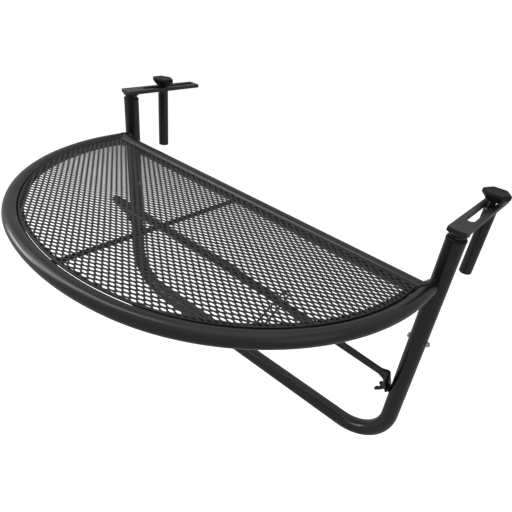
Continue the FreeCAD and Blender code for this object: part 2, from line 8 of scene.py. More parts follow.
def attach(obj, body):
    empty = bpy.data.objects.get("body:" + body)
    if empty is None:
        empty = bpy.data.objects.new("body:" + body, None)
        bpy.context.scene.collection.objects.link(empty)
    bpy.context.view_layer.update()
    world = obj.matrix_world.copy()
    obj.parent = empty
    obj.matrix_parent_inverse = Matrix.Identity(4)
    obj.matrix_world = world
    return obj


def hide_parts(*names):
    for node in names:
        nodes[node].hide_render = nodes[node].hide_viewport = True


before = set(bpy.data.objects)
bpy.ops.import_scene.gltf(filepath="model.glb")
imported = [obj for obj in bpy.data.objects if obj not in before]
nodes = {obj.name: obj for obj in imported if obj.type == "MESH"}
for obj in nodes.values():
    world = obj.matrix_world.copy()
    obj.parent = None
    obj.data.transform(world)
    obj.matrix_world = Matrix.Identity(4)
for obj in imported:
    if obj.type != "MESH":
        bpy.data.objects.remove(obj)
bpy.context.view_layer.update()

MM = 0.001
rng = np.random.RandomState(20240611)

# ------------------------------------------------------------------ sizes, mm
HALF = 310.0                      # uprights' axes at x = -+310
POST_R, POST_TOP, BAR_Z, BEND = 12.5, -10.0, -390.8, 74.0
RIM_R, RIM_Z, A, R1, RIM_STR, RIM_FRONT, RIM_END = 10.0, -76.0, 305.0, 277.6, 47.3, -328.2, -11.0
BACK_Y = -26.6
SHEET_Z = -69.9
STRIP_TOP, STRIP_LOW = -70.95, -71.8
LIFT_OUT = 9.9                    # ring's outer edge, in from the rim's centre line
BOLT_Z, PIVOT_Z = -166.0, -272.0
KNOB_TURN = {"left": 32.0, "right": 4.5}
CLAMP_Y = {"left": 69.9, "right": 113.1}


# ------------------------------------------------------------------ mesh helpers
def unit(v):
    v = np.asarray(v, float)
    return v / np.linalg.norm(v)


def make(name, parts, mat, body, node=(), sharp=40.0, stage=False):
    """One object from one or more (verts mm, faces) parts."""
    if isinstance(parts, tuple):
        parts = [parts]
    verts, faces, at = [], [], 0
    for v, f in parts:
        v = np.asarray(v, float)
        verts.append(v)
        faces.extend([tuple(int(i) + at for i in q) for q in f])
        at += len(v)
    verts = np.vstack(verts) * MM
    me = bpy.data.meshes.new(name)
    me.from_pydata(verts.tolist(), [], faces)
    me.validate(clean_customdata=False)
    me.update()
    me.shade_smooth()
    if sharp is not None:
        me.set_sharp_from_angle(angle=math.radians(sharp))
    ob = bpy.data.objects.new(name, me)
    bpy.context.scene.collection.objects.link(ob)
    ob.data.materials.append(mat)
    if stage:
        return ob
    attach(ob, body)
    if node:
        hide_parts(*([node] if isinstance(node, str) else node))
    return ob


def transport(P, closed=False, start=None):
    """Tangents and side vectors that don't twist along P."""
    P = np.asarray(P, float)
    n = len(P)
    if closed:
        T = np.roll(P, -1, 0) - np.roll(P, 1, 0)
    else:
        T = np.empty_like(P)
        T[1:-1] = P[2:] - P[:-2]
        T[0] = P[1] - P[0]
        T[-1] = P[-1] - P[-2]
    T /= np.linalg.norm(T, axis=1)[:, None]
    if start is None:
        start = np.array([0, 0, 1.0]) if abs(T[0][2]) < 0.9 else np.array([1.0, 0, 0])
    N = np.empty_like(P)
    N[0] = unit(start - T[0] * np.dot(start, T[0]))
    for i in range(1, n):
        v = N[i - 1] - T[i] * np.dot(N[i - 1], T[i])
        N[i] = unit(v)
    return T, N, np.cross(T, N)


def tube(P, radius, seg=32, closed=False, caps=True, section=None, start=None, phase=0.0):
    """Skin over P. radius is a number or one number per point."""
    P = np.asarray(P, float)
    n = len(P)
    T, N, B = transport(P, closed, start)
    rad = np.broadcast_to(np.asarray(radius, float), (n,)) if np.ndim(radius) < 2 else radius
    a = np.linspace(0, 2 * math.pi, seg, endpoint=False) + phase
    if np.ndim(rad) == 2:
        V = P[:, None, :] + N[:, None, :] * (np.cos(a) * rad)[..., None] + B[:, None, :] * (np.sin(a) * rad)[..., None]
    else:
        V = P[:, None, :] + rad[:, None, None] * (N[:, None, :] * np.cos(a)[None, :, None] + B[:, None, :] * np.sin(a)[None, :, None])
    F = []
    last = n if closed else n - 1
    for i in range(last):
        j = (i + 1) % n
        for k in range(seg):
            m = (k + 1) % seg
            F.append((i * seg + k, i * seg + m, j * seg + m, j * seg + k))
    V = V.reshape(-1, 3)
    if caps and not closed:
        F.append(tuple(range(seg))[::-1])
        F.append(tuple((n - 1) * seg + k for k in range(seg)))
    F = [q[::-1] for q in F]
    return V, F


def runs(pts, rads, step=4.0, run=30.0):
    """Polyline with arcs of the given radii at its inner corners, as points."""
    pts = [np.asarray(p, float) for p in pts]
    out = [pts[0]]

    def straight(p, q):
        m = max(1, int(np.linalg.norm(q - p) / run))
        for i in range(1, m + 1):
            out.append(p + (q - p) * i / m)

    at = pts[0]
    for i in range(1, len(pts) - 1):
        d0, d1 = unit(pts[i] - pts[i - 1]), unit(pts[i + 1] - pts[i])
        ang = math.acos(max(-1, min(1, float(np.dot(d0, d1)))))
        r = rads[i - 1]
        back = r * math.tan(ang / 2)
        p, q = pts[i] - d0 * back, pts[i] + d1 * back
        straight(at, p)
        c = pts[i] + unit(d1 - d0) * (r / math.cos(ang / 2))
        m = max(2, int(math.degrees(ang) / step))
        axis = unit(np.cross(d0, d1))
        v = p - c
        for k in range(1, m + 1):
            t = ang * k / m
            out.append(c + v * math.cos(t) + np.cross(axis, v) * math.sin(t))
        at = q
    straight(at, pts[-1])
    return np.array(out)


def lathe(profile, seg=48, centre=(0, 0, 0), axis=(0, 0, 1), closed=False, turn=0.0):
    """Profile of (radius, height) turned about axis through centre."""
    ax = unit(axis)
    sx = unit(np.cross(ax, (0, 1.0, 0) if abs(ax[1]) < 0.9 else (1.0, 0, 0)))
    sy = np.cross(ax, sx)
    c = np.asarray(centre, float)
    V, F = [], []
    a = np.linspace(0, 2 * math.pi, seg, endpoint=False) + turn
    rings = []
    for r, z in profile:
        if np.ndim(r) == 0 and r < 1e-9:
            rings.append([len(V)])
            V.append(c + ax * z)
        else:
            rr = np.broadcast_to(r, (seg,))
            zz = np.broadcast_to(z, (seg,))
            rings.append(list(range(len(V), len(V) + seg)))
            for k in range(seg):
                V.append(c + ax * zz[k] + (sx * math.cos(a[k]) + sy * math.sin(a[k])) * rr[k])
    pairs = list(zip(rings[:-1], rings[1:]))
    if closed:
        pairs.append((rings[-1], rings[0]))
    for p, q in pairs:
        for k in range(seg):
            m = (k + 1) % seg
            if len(p) == 1 and len(q) == 1:
                continue
            if len(p) == 1:
                F.append((p[0], q[m], q[k]))
            elif len(q) == 1:
                F.append((p[k], p[m], q[0]))
            else:
                F.append((p[k], p[m], q[m], q[k]))
    return np.array(V), F


def thread(radius, pitch, z0, z1, centre, axis, seg=24, per=6, depth=None, lead=1.0, turn=0.0):
    """Screw thread with drawn-in ends."""
    depth = pitch * 0.54 if depth is None else depth
    n = int((z1 - z0) / pitch * per)
    a = np.linspace(0, 1, seg, endpoint=False)
    prof = [(0.0, z0)]
    for i in range(n + 1):
        z = z0 + (z1 - z0) * i / n
        f = (z / pitch - a) % 1.0
        wave = np.clip(np.abs(f - 0.5) * 2 * 1.25 - 0.1, 0, 1)
        r = radius - depth * wave
        edge = min(z - z0, z1 - z)
        r = np.minimum(r, radius - depth - 0.35 + edge / lead)
        prof.append((r, z))
    prof.append((0.0, z1))
    return lathe(prof, seg, centre, axis, turn=turn)


def hex_head(across, height, centre, axis, turn=0.0, bore=None, both=False, washer=0.0):
    """Hexagon head or nut with turned corners."""
    seg = 72
    ap = across / 2
    a = np.linspace(0, 360, seg, endpoint=False)
    r_hex = ap / np.cos(np.radians((a % 60) - 30))
    r_hex = np.minimum(r_hex, ap * 1.135)
    drop = (r_hex - ap * 0.95) * math.tan(math.radians(30))
    prof = []
    if bore is None:
        prof.append((0.0, 0.0))
    else:
        prof.append((bore + 0.45, 0.0))
    if both:
        prof += [(ap * 0.95, 0.0), (r_hex, drop)]
    else:
        prof += [(ap * 0.97, 0.0), (r_hex * 0.985, 0.12), (r_hex, 0.3)]
    prof += [(r_hex, height - drop), (ap * 0.95, height)]
    if bore is None:
        prof += [(ap * 0.8, height - 0.02), (ap * 0.74, height - 0.22), (0.0, height - 0.22)]
        return lathe(prof, seg, centre, axis, turn=math.radians(turn))
    prof += [(bore + 0.45, height), (bore, height - 0.45), (bore, 0.45)]
    return lathe(prof, seg, centre, axis, closed=True, turn=math.radians(turn))


def bead(P, r, closed=False, pitch=2.3, seg=12, flat=1.0, seed=0, taper=True, grow=0.16):
    """Weld bead: scalloped ripples along a path, uneven as laid by hand."""
    P = np.asarray(P, float)
    rs = np.random.RandomState(1000 + seed)
    # resample evenly
    Q = np.vstack([P, P[:1]]) if closed else P
    d = np.r_[0, np.cumsum(np.linalg.norm(np.diff(Q, axis=0), axis=1))]
    m = max(8, int(d[-1] / (pitch / 5)))
    s = np.linspace(0, d[-1], m, endpoint=not closed)
    R = np.stack([np.interp(s, d, Q[:, i]) for i in range(3)], 1)
    ripple = (s / pitch + 0.25 * np.sin(s / pitch * 0.9)) % 1.0
    width = 1 + grow * (1 - (1 - ripple) ** 2) - grow / 2
    k = max(2, int(d[-1] / 5))
    knots = rs.uniform(-1, 1, k + 1)
    if closed:
        knots[-1] = knots[0]
    slow = np.interp(s, np.linspace(0, d[-1], k + 1), knots)
    rad = r * width * (1 + 0.09 * slow)
    if taper and not closed:
        rad = rad * np.minimum(1, 0.35 + np.minimum(s, s[-1] - s) / (r * 1.2))
    V, F = tube(R, rad, seg, closed=closed)
    return V, F


def slab(outer, holes, z0, z1, bevel, name):
    """Flat bar with rounded edges and holes, through a filled curve."""
    cu = bpy.data.curves.new(name, "CURVE")
    cu.dimensions = "2D"
    cu.fill_mode = "BOTH"
    cu.extrude = ((z1 - z0) / 2 - bevel) * MM
    cu.bevel_depth = bevel * MM
    cu.bevel_resolution = 3
    cu.offset = -bevel * MM
    for loop in [outer] + list(holes):
        sp = cu.splines.new("POLY")
        sp.points.add(len(loop) - 1)
        for p, q in zip(sp.points, loop):
            p.co = (q[0] * MM, q[1] * MM, 0, 1)
        sp.use_cyclic_u = True
    ob = bpy.data.objects.new(name, cu)
    bpy.context.scene.collection.objects.link(ob)
    dg = bpy.context.evaluated_depsgraph_get()
    me = bpy.data.meshes.new_from_object(ob.evaluated_get(dg))
    v = np.array([x.co[:] for x in me.vertices]) / MM
    v[:, 2] += (z0 + z1) / 2
    f = [tuple(p.vertices) for p in me.polygons]
    bpy.data.objects.remove(ob)
    bpy.data.curves.remove(cu)
    bpy.data.meshes.remove(me)
    return v, f


def weld_verts(V, F, digits=4):
    """Joins points that coincide."""
    key = np.round(V, digits)
    _, first, inv = np.unique(key, axis=0, return_index=True, return_inverse=True)
    inv = inv.ravel()
    out = []
    for q in F:
        g = []
        for i in q:
            j = int(inv[i])
            if not g or g[-1] != j:
                g.append(j)
        if len(g) > 1 and g[0] == g[-1]:
            g.pop()
        if len(set(g)) == len(g) and len(g) >= 3:
            out.append(tuple(g))
    return V[first], out


# ------------------------------------------------------------------ materials
def new_mat(name):
    m = bpy.data.materials.new(name)
    m.use_nodes = True
    t = m.node_tree
    return m, t, t.nodes["Principled BSDF"]


def noise(t, vec, scale, detail=3.0, rough=0.5, dist=0.0):
    n = t.nodes.new("ShaderNodeTexNoise")
    n.inputs["Scale"].default_value = scale
    n.inputs["Detail"].default_value = detail
    n.inputs["Roughness"].default_value = rough
    n.inputs["Distortion"].default_value = dist
    t.links.new(vec, n.inputs["Vector"])
    return n.outputs["Fac"]


def ramp(t, fac, lo, hi, c0, c1):
    r = t.nodes.new("ShaderNodeValToRGB")
    r.color_ramp.elements[0].position = lo
    r.color_ramp.elements[1].position = hi
    r.color_ramp.elements[0].color = (*c0, 1) if np.ndim(c0) else (c0, c0, c0, 1)
    r.color_ramp.elements[1].color = (*c1, 1) if np.ndim(c1) else (c1, c1, c1, 1)
    t.links.new(fac, r.inputs["Fac"])
    return r.outputs["Color"]


def mixc(t, fac, a, b, mode="MIX"):
    m = t.nodes.new("ShaderNodeMix")
    m.data_type = "RGBA"
    m.blend_type = mode
    for src, sock in ((fac, m.inputs[0]), (a, m.inputs[6]), (b, m.inputs[7])):
        if isinstance(src, (int, float)):
            sock.default_value = src
        elif isinstance(src, tuple):
            sock.default_value = (*src, 1)
        else:
            t.links.new(src, sock)
    return m.outputs[2]


def remap(t, v, a, b, c, d):
    m = t.nodes.new("ShaderNodeMapRange")
    m.clamp = True
    for i, x in zip((1, 2, 3, 4), (a, b, c, d)):
        m.inputs[i].default_value = x
    t.links.new(v, m.inputs[0])
    return m.outputs[0]


def bump(t, height, strength, distance, below=None):
    b = t.nodes.new("ShaderNodeBump")
    b.inputs["Strength"].default_value = strength
    b.inputs["Distance"].default_value = distance
    t.links.new(height, b.inputs["Height"])
    if below is not None:
        t.links.new(below, b.inputs["Normal"])
    return b.outputs["Normal"]


def coated(name, dark, light, r0, r1, peel=1.0, peel_scale=900.0, edge=0.05, edge_at=(0.54, 0.62),
           spec=0.5, grain=1.0, cool=(1.0, 1.0, 1.06)):
    """Powder coat over steel: orange peel, fine grain, cloudy tone, lighter at convex edges where the coat is thinner,
    which also paints a highlight along them.
    """
    m, t, p = new_mat(name)
    vec = t.nodes.new("ShaderNodeTexCoord").outputs["Object"]
    tone = noise(t, vec, 22.0, 5.0, 0.55)
    col = ramp(t, tone, 0.3, 0.72, tuple(dark * c for c in cool), tuple(light * c for c in cool))
    fleck = noise(t, vec, 2600.0, 1.0, 0.5)
    col = mixc(t, remap(t, fleck, 0.62, 0.74, 0.0, 0.35), col, tuple(light * 1.9 * c for c in cool))
    # lighter colour at convex edges: partly thinner coat, partly a painted highlight along every edge
    geo = t.nodes.new("ShaderNodeNewGeometry")
    thin = remap(t, geo.outputs["Pointiness"], edge_at[0], edge_at[1], 0.0, 1.0)
    patchy = noise(t, vec, 160.0, 3.0, 0.6)
    mul = t.nodes.new("ShaderNodeMath")
    mul.operation = "MULTIPLY"
    t.links.new(thin, mul.inputs[0])
    t.links.new(remap(t, patchy, 0.35, 0.65, 0.25, 1.0), mul.inputs[1])
    col = mixc(t, mul.outputs[0], col, tuple(edge * c for c in cool))
    t.links.new(col, p.inputs["Base Color"])
    cloud = noise(t, vec, 55.0, 4.0, 0.6)
    t.links.new(remap(t, cloud, 0.3, 0.7, r0, r1), p.inputs["Roughness"])
    peel_h = noise(t, vec, peel_scale, 2.0, 0.45)
    fine_h = noise(t, vec, 4200.0, 2.0, 0.5)
    b1 = bump(t, peel_h, 0.35 * peel, 0.00006)
    b2 = bump(t, fine_h, 0.22 * grain, 0.00002, b1)
    t.links.new(b2, p.inputs["Normal"])
    p.inputs["Specular IOR Level"].default_value = spec
    return m


def plated(name, base, tint, r0, r1, metal=1.0, scratch=1.0):
    """Zinc plate: cloudy passivation, fine draw lines."""
    m, t, p = new_mat(name)
    vec = t.nodes.new("ShaderNodeTexCoord").outputs["Object"]
    tone = noise(t, vec, 260.0, 4.0, 0.6, 0.4)
    col = ramp(t, tone, 0.35, 0.68, base, tint)
    spots = noise(t, vec, 1500.0, 3.0, 0.6)
    col = mixc(t, remap(t, spots, 0.6, 0.75, 0.0, 0.5), col, tuple(0.45 * c for c in base))
    t.links.new(col, p.inputs["Base Color"])
    mp = t.nodes.new("ShaderNodeMapping")
    mp.inputs["Scale"].default_value = (300.0, 5000.0, 5000.0)
    t.links.new(vec, mp.inputs["Vector"])
    lines = noise(t, mp.outputs["Vector"], 1.0, 2.0, 0.5)
    t.links.new(remap(t, lines, 0.3, 0.7, r0, r1), p.inputs["Roughness"])
    t.links.new(bump(t, lines, 0.2 * scratch, 0.00001), p.inputs["Normal"])
    p.inputs["Metallic"].default_value = metal
    return m


def plastic(name, dark, light):
    m, t, p = new_mat(name)
    vec = t.nodes.new("ShaderNodeTexCoord").outputs["Object"]
    tone = noise(t, vec, 90.0, 4.0, 0.6)
    col = ramp(t, tone, 0.3, 0.7, (dark, dark, dark * 1.05), (light, light, light * 1.05))
    # lighter at the knob's sharp edges: rubbed wear plus a painted edge highlight
    geo = t.nodes.new("ShaderNodeNewGeometry")
    rub_wear_and_highlight = remap(t, geo.outputs["Pointiness"], 0.53, 0.6, 0.0, 0.6)
    col = mixc(t, rub_wear_and_highlight, col, (light * 2.2, light * 2.2, light * 2.3))
    t.links.new(col, p.inputs["Base Color"])
    t.links.new(remap(t, noise(t, vec, 300.0, 3.0, 0.6), 0.3, 0.7, 0.42, 0.58), p.inputs["Roughness"])
    vo = t.nodes.new("ShaderNodeTexVoronoi")
    vo.inputs["Scale"].default_value = 2600.0
    t.links.new(vec, vo.inputs["Vector"])
    p.inputs["Specular IOR Level"].default_value = 0.16
    b1 = bump(t, vo.outputs["Distance"], 0.3, 0.00005)
    t.links.new(bump(t, noise(t, vec, 500.0, 2.0), 0.15, 0.00008, b1), p.inputs["Normal"])
    return m


# edge= is the colour of the convex edges: thinner coat plus a painted edge highlight
M_FRAME = coated("powder_coat_tube", 0.0055, 0.0085, 0.19, 0.27, edge=0.018, spec=0.5)
M_TOP = coated("powder_coat_mesh", 0.0055, 0.0095, 0.34, 0.44, peel=0.5, peel_scale=1800.0, edge=0.018, spec=0.5)
M_PLATE = coated("powder_coat_plate", 0.007, 0.011, 0.34, 0.44, edge=0.04, edge_at=(0.53, 0.6), spec=0.55)
M_WELD = coated("powder_coat_weld", 0.005, 0.009, 0.32, 0.44, peel=0.6, edge=0.022, spec=0.35)
M_KNOB = plastic("knob_plastic", 0.005, 0.008)
M_ZINC = plated("zinc_plate", (0.50, 0.51, 0.52), (0.66, 0.65, 0.60), 0.24, 0.42)
M_DARK = plated("black_zinc", (0.030, 0.030, 0.032), (0.060, 0.058, 0.055), 0.32, 0.46, metal=0.55)


# ------------------------------------------------------------------ outline of the table top
c1x, c1y = A - R1, -RIM_STR
kk = c1y - RIM_FRONT
R2 = (c1x ** 2 + kk ** 2 - R1 ** 2) / (2 * (kk - R1))
c2y = RIM_FRONT + R2
join = math.degrees(math.atan2(c1y - c2y, c1x))


def outline(d, y_end, step=1.0):
    """Rim's centre line moved inwards by d, from the left end round the front to the right end."""
    a, ra, rb = A - d, R1 - d, R2 - d
    pts = [(-a, y_end), (-a, (y_end + c1y) / 2)]

    def arc(cx, cy, r, a0, a1):
        n = max(2, int(abs(a1 - a0) * math.pi / 180 * r / (step * 4)))
        for k in range(n + 1):
            t = math.radians(a0 + (a1 - a0) * k / n)
            p = (cx + r * math.cos(t), cy + r * math.sin(t))
            if math.hypot(p[0] - pts[-1][0], p[1] - pts[-1][1]) > 0.2:
                pts.append(p)

    arc(-c1x, c1y, ra, 180, 180 - join)
    arc(0, c2y, rb, 180 - join, 360 + join)
    arc(c1x, c1y, ra, 360 + join, 360)
    pts += [(a, (y_end + c1y) / 2), (a, y_end)]
    return np.array(pts)


# ------------------------------------------------------------------ U frame
P = runs([(-HALF, 0, POST_TOP), (-HALF, 0, BAR_Z), (HALF, 0, BAR_Z), (HALF, 0, POST_TOP)],
         [BEND, BEND], step=3.0, run=12.0)
# pressed slightly oval where the tube was bent
d0 = np.linalg.norm(np.diff(P, axis=0), axis=1)
seg = 56
T, N, B = transport(P)
turned = np.zeros(len(P))
for i in range(1, len(P) - 1):
    turned[i] = 1.0 if np.dot(unit(P[i] - P[i - 1]), unit(P[i + 1] - P[i])) < 0.99995 else 0.0
soft = np.convolve(turned, np.ones(7) / 7, mode="same")
a = np.linspace(0, 2 * math.pi, seg, endpoint=False)
# N starts along X, which is the bending plane's side
rad = POST_R * (1 - 0.018 * soft[:, None] * np.cos(a)[None, :] ** 2 + 0.012 * soft[:, None] * np.sin(a)[None, :] ** 2)
V, F = tube(P, rad, seg, caps=False)
u_parts = [(V, F)]
# open tops: a rolled edge and the wall inside
for sx in (-1, 1):
    u_parts.append(lathe([(12.5, POST_TOP - 0.6), (12.42, POST_TOP - 0.25), (12.2, POST_TOP - 0.05),
                          (11.9, POST_TOP), (10.8, POST_TOP), (10.5, POST_TOP - 0.3), (10.5, POST_TOP - 26)],
                         56, (sx * HALF, 0, 0)))
make("u_frame_tube", u_parts, M_FRAME, "frame", "u_frame")

# ------------------------------------------------------------------ rim
pts = outline(0.0, RIM_END, step=1.2)
P = np.c_[pts, np.full(len(pts), RIM_Z)]
seg = 48
V, F = tube(P, RIM_R, seg, caps=False)
V = V.reshape(len(P), seg, 3)
for row, sx in ((0, -1), (-1, 1)):
    dx = V[row, :, 0] - sx * HALF
    y = -np.sqrt(np.clip(POST_R ** 2 - dx ** 2, 0, None))
    V[row, :, 1] = np.minimum(y + 0.05, RIM_END)
rim_parts = [(V.reshape(-1, 3), F)]
# closed ends, slightly domed by the weld
for row, sx in ((0, -1), (-1, 1)):
    ring = V[row]
    cen = ring.mean(0)
    inner = cen + (ring - cen) * 0.86
    inner[:, 1] += 0.25
    vv = np.vstack([ring, inner, cen + (0, 0.3, 0)])
    ff = []
    for k in range(seg):
        m = (k + 1) % seg
        q = [(k, m, seg + m, seg + k), (seg + k, seg + m, 2 * seg)]
        ff += q if sx < 0 else [t[::-1] for t in q]
    rim_parts.append((vv, ff))
make("rim_tube", rim_parts, M_FRAME, "frame", "table_rim")

# ------------------------------------------------------------------ back tube
xs = np.r_[-300.0, np.linspace(-292, 292, 60), 300.0]
P = np.c_[xs, np.full(len(xs), BACK_Y), np.full(len(xs), RIM_Z)]
V, F = tube(P, 10.0, 48, caps=False)
V = V.reshape(len(P), 48, 3)
for row, sx in ((0, -1), (-1, 1)):
    V[row, :, 0] = sx * (A - np.abs(V[row, :, 1] - BACK_Y) + 0.2)
make("back_tube_skin", (V.reshape(-1, 3), F), M_FRAME, "frame", "back_tube")

# ------------------------------------------------------------------ ring under the sheet
yb = BACK_Y - 10.6


def band(d_out, d_in, z0, z1, d_side=None):
    """Closed flat ring between two offsets of the outline, the inner one wider at the sides."""
    o = outline(d_out, yb)
    n = len(o)
    i = []
    # the same points moved inwards
    src = outline(d_in, yb - (d_in - d_out))
    t_o = np.r_[0, np.cumsum(np.linalg.norm(np.diff(o, axis=0), axis=1))]
    t_i = np.r_[0, np.cumsum(np.linalg.norm(np.diff(src, axis=0), axis=1))]
    u = t_o / t_o[-1] * t_i[-1]
    inn = np.stack([np.interp(u, t_i, src[:, k]) for k in (0, 1)], 1)
    if d_side is not None:
        far = outline(d_side, yb - (d_side - d_out))
        t_f = np.r_[0, np.cumsum(np.linalg.norm(np.diff(far, axis=0), axis=1))]
        wide = np.stack([np.interp(t_o / t_o[-1] * t_f[-1], t_f, far[:, k]) for k in (0, 1)], 1)
        b = np.clip((np.abs(inn[:, :1]) - 120.0) / 120.0, 0, 1)
        b = b * b * (3 - 2 * b)
        inn = inn * (1 - b) + wide * b
    m = 60
    bo = np.stack([np.linspace(o[-1, 0], o[0, 0], m + 2)[1:-1], np.full(m, o[0, 1])], 1)
    bi = np.stack([np.linspace(inn[-1, 0], inn[0, 0], m + 2)[1:-1], np.full(m, inn[0, 1])], 1)
    o, inn = np.vstack([o, bo]), np.vstack([inn, bi])
    n = len(o)
    e = 0.25
    dirs = inn - o
    dirs /= np.linalg.norm(dirs, axis=1)[:, None]
    if d_side is not None:
        # lies against the rim except at the middle of the front
        tight = outline(d_out - 1.6, yb)
        t_t = np.r_[0, np.cumsum(np.linalg.norm(np.diff(tight, axis=0), axis=1))]
        u_t = np.r_[t_o / t_o[-1] * t_t[-1], np.zeros(m)]
        tight = np.stack([np.interp(u_t, t_t, tight[:, k]) for k in (0, 1)], 1)
        near = np.where(o[:, 1] < -200.0, np.clip((np.abs(o[:, 0] - 14.0) - 94.0) / 6.0, 0, 1), 1.0)[:, None]
        near = 1 - (1 - near) * (0.22 + 0.78 * np.clip((o[:, :1] + 80.0) / 180.0, 0, 1) ** 2)
        near[len(t_o):] = 0
        o = o * (1 - near) + tight * near
    rows = [(o + dirs * e, z1), (inn - dirs * e, z1), (inn, z1 - e), (inn, z0 + e), (inn - dirs * e, z0),
            (o + dirs * e, z0), (o, z0 + e), (o, z1 - e)]
    V = np.vstack([np.c_[r, np.full(n, z)] for r, z in rows])
    F = []
    for r in range(8):
        s = (r + 1) % 8
        for k in range(n):
            j = (k + 1) % n
            F.append((r * n + k, r * n + j, s * n + j, s * n + k))
    return V, F


strip = band(LIFT_OUT + 0.7, LIFT_OUT + 5.6, STRIP_LOW, STRIP_TOP, LIFT_OUT + 9.1)
o = outline(LIFT_OUT + 0.9, yb - 0.9)
o2 = outline(LIFT_OUT + 1.0, yb - 0.9)
t1, t2 = [np.r_[0, np.cumsum(np.linalg.norm(np.diff(q, axis=0), axis=1))] for q in (o, o2)]
o2 = np.stack([np.interp(t1 / t1[-1] * t2[-1], t2, o2[:, k]) for k in (0, 1)], 1)
near = np.where(o[:, 1:] < -200.0, np.clip((np.abs(o[:, :1] - 14.0) - 94.0) / 6.0, 0, 1), 1.0)
o = o * near + o2 * (1 - near)
m = 60
lip_path = np.vstack([o, np.stack([np.linspace(o[-1, 0], o[0, 0], m + 2)[1:-1], np.full(m, o[0, 1])], 1)])
LIP_Z = -69.75
s = np.arange(len(lip_path))
lip_path = np.c_[lip_path, LIP_Z + 0.12 * np.sin(s * 0.21) * np.sin(s * 0.037)]
lip = tube(lip_path, 0.95, 12, closed=True)
make("border_ring", [strip, lip], M_TOP, "frame", "mesh_border", sharp=50)

# ------------------------------------------------------------------ expanded sheet
PX, PY = 6.15, 4.2                # half pitches
W, BOND, SLOPE, THICK = 2.25, 2.8, 0.14, 0.95
NS = 5


def tile():
    """One bond and the two strands above it, as a thin surface."""
    V, F = [], []

    def quad(rows):
        base = len(V)
        V.extend([p for row in rows for p in row])
        w = len(rows[0])
        for r in range(len(rows) - 1):
            for k in range(w - 1):
                i = base + r * w + k
                F.append((i, i + 1, i + w + 1, i + w))

    hb = BOND / 2
    quad([[(-hb, y, SLOPE * y), (hb, y, SLOPE * y)] for y in (-W, 0.0, W)])
    for sgn in (1, -1):
        rows = []
        for i in range(NS + 1):
            t = i / NS
            x = hb + (PX - BOND) * t
            e = t + 0.55 * (t * t * (3 - 2 * t) - t)
            yc = W / 2 + (PY - W) * e
            zc = SLOPE * W / 2 * (1 - 2 * e)
            row = [(sgn * x, yc - W / 2, zc - SLOPE * W / 2), (sgn * x, yc + W / 2, zc + SLOPE * W / 2)]
            rows.append(row)
        if sgn > 0:
            rows = [list(r) for r in zip(*rows)]
        else:
            rows = [list(r)[::-1] for r in zip(*rows)]
        quad(rows)
    return np.array(V, float), F


tv, tf = tile()
tn = len(tv)
edge = outline(LIFT_OUT + 0.3, yb - 0.9, step=3.0)
poly = edge
centre2 = np.array([0.0, -160.0])
pn, pc = [], []
loop = np.vstack([poly, poly[:1]])
for p, q in zip(loop[:-1], loop[1:]):
    t = (q - p)
    nn = np.array([t[1], -t[0]]) / np.hypot(*t)
    if np.dot(nn, centre2 - p) > 0:
        nn = -nn
    pn.append(nn)
    pc.append(np.dot(nn, p))
pn, pc = np.array(pn), np.array(pc)
PHX, PHY = 2.0, 1.1               # where the pattern starts
bonds = []
for i in range(-56, 57):
    for j in range(-84, 4):
        if (i + j) % 2:
            x, y = i * PX + PHX, j * PY + PHY
            if np.max(pn @ np.array([x, y]) - pc) < 9.0:
                bonds.append((x, y))
bonds = np.array(bonds)
V = (tv[None, :, :] + np.c_[bonds, np.zeros(len(bonds))][:, None, :]).reshape(-1, 3)
tfa = np.array(tf)
F = (tfa[None, :, :] + (np.arange(len(bonds)) * tn)[:, None, None]).reshape(-1, 4)
side = V[:, :2] @ pn.T - pc
worst = side.max(1)
out_v = worst > 1e-6
inside = ~out_v[F].any(1)
keepF = [tuple(q) for q in F[inside]]
newV, newF = [], []
for q in F[~inside]:
    if out_v[q].all() and (side[q] > 0).all(0).any():
        continue
    poly3 = [V[i] for i in q]
    for k in np.where((side[q] > 1e-6).any(0))[0]:
        nn, cc = pn[k], pc[k]
        res = []
        for a_, b_ in zip(poly3, poly3[1:] + poly3[:1]):
            da, db = np.dot(nn, a_[:2]) - cc, np.dot(nn, b_[:2]) - cc
            if da <= 0:
                res.append(a_)
            if (da < 0) != (db < 0) and da != db and (da <= 0 or db <= 0):
                t = da / (da - db)
                if 0 < t < 1:
                    res.append(a_ + (b_ - a_) * t)
        poly3 = res
        if len(poly3) < 3:
            break
    if len(poly3) >= 3:
        base = len(V) + len(newV)
        newV.extend(poly3)
        newF.append(tuple(range(base, base + len(poly3))))
allV = np.vstack([V] + ([np.array(newV)] if newV else []))
used = np.unique(np.concatenate([np.array(q) for q in keepF + newF]))
lookup = -np.ones(len(allV), int)
lookup[used] = np.arange(len(used))
V = allV[used]
F = [tuple(int(lookup[i]) for i in q) for q in keepF + newF]
V, F = weld_verts(V, F, 3)
# thickness: both skins and the cut sides
nrm = np.zeros_like(V)
for q in F:
    a_, b_, c_ = V[q[0]], V[q[1]], V[q[2]]
    n_ = np.cross(b_ - a_, c_ - a_)
    l_ = np.linalg.norm(n_)
    if l_ > 1e-12:
        for i in q:
            nrm[i] += n_ / l_
nrm /= np.maximum(np.linalg.norm(nrm, axis=1), 1e-9)[:, None]
if np.mean(nrm[:, 2]) < 0:
    F = [q[::-1] for q in F]
    nrm = -nrm
wave = 0.22 * np.sin(V[:, 0] * 0.021 + 1.0) * np.sin(V[:, 1] * 0.027) + 0.1 * np.sin(V[:, 0] * 0.06 + V[:, 1] * 0.045)
mid_line = V + np.c_[np.zeros((len(V), 2)), SHEET_Z + wave]
top_skin, low_skin = mid_line + nrm * THICK / 2, mid_line - nrm * THICK / 2
n = len(V)
count = {}
for q in F:
    for i, j in zip(q, q[1:] + q[:1]):
        count[(i, j)] = 1
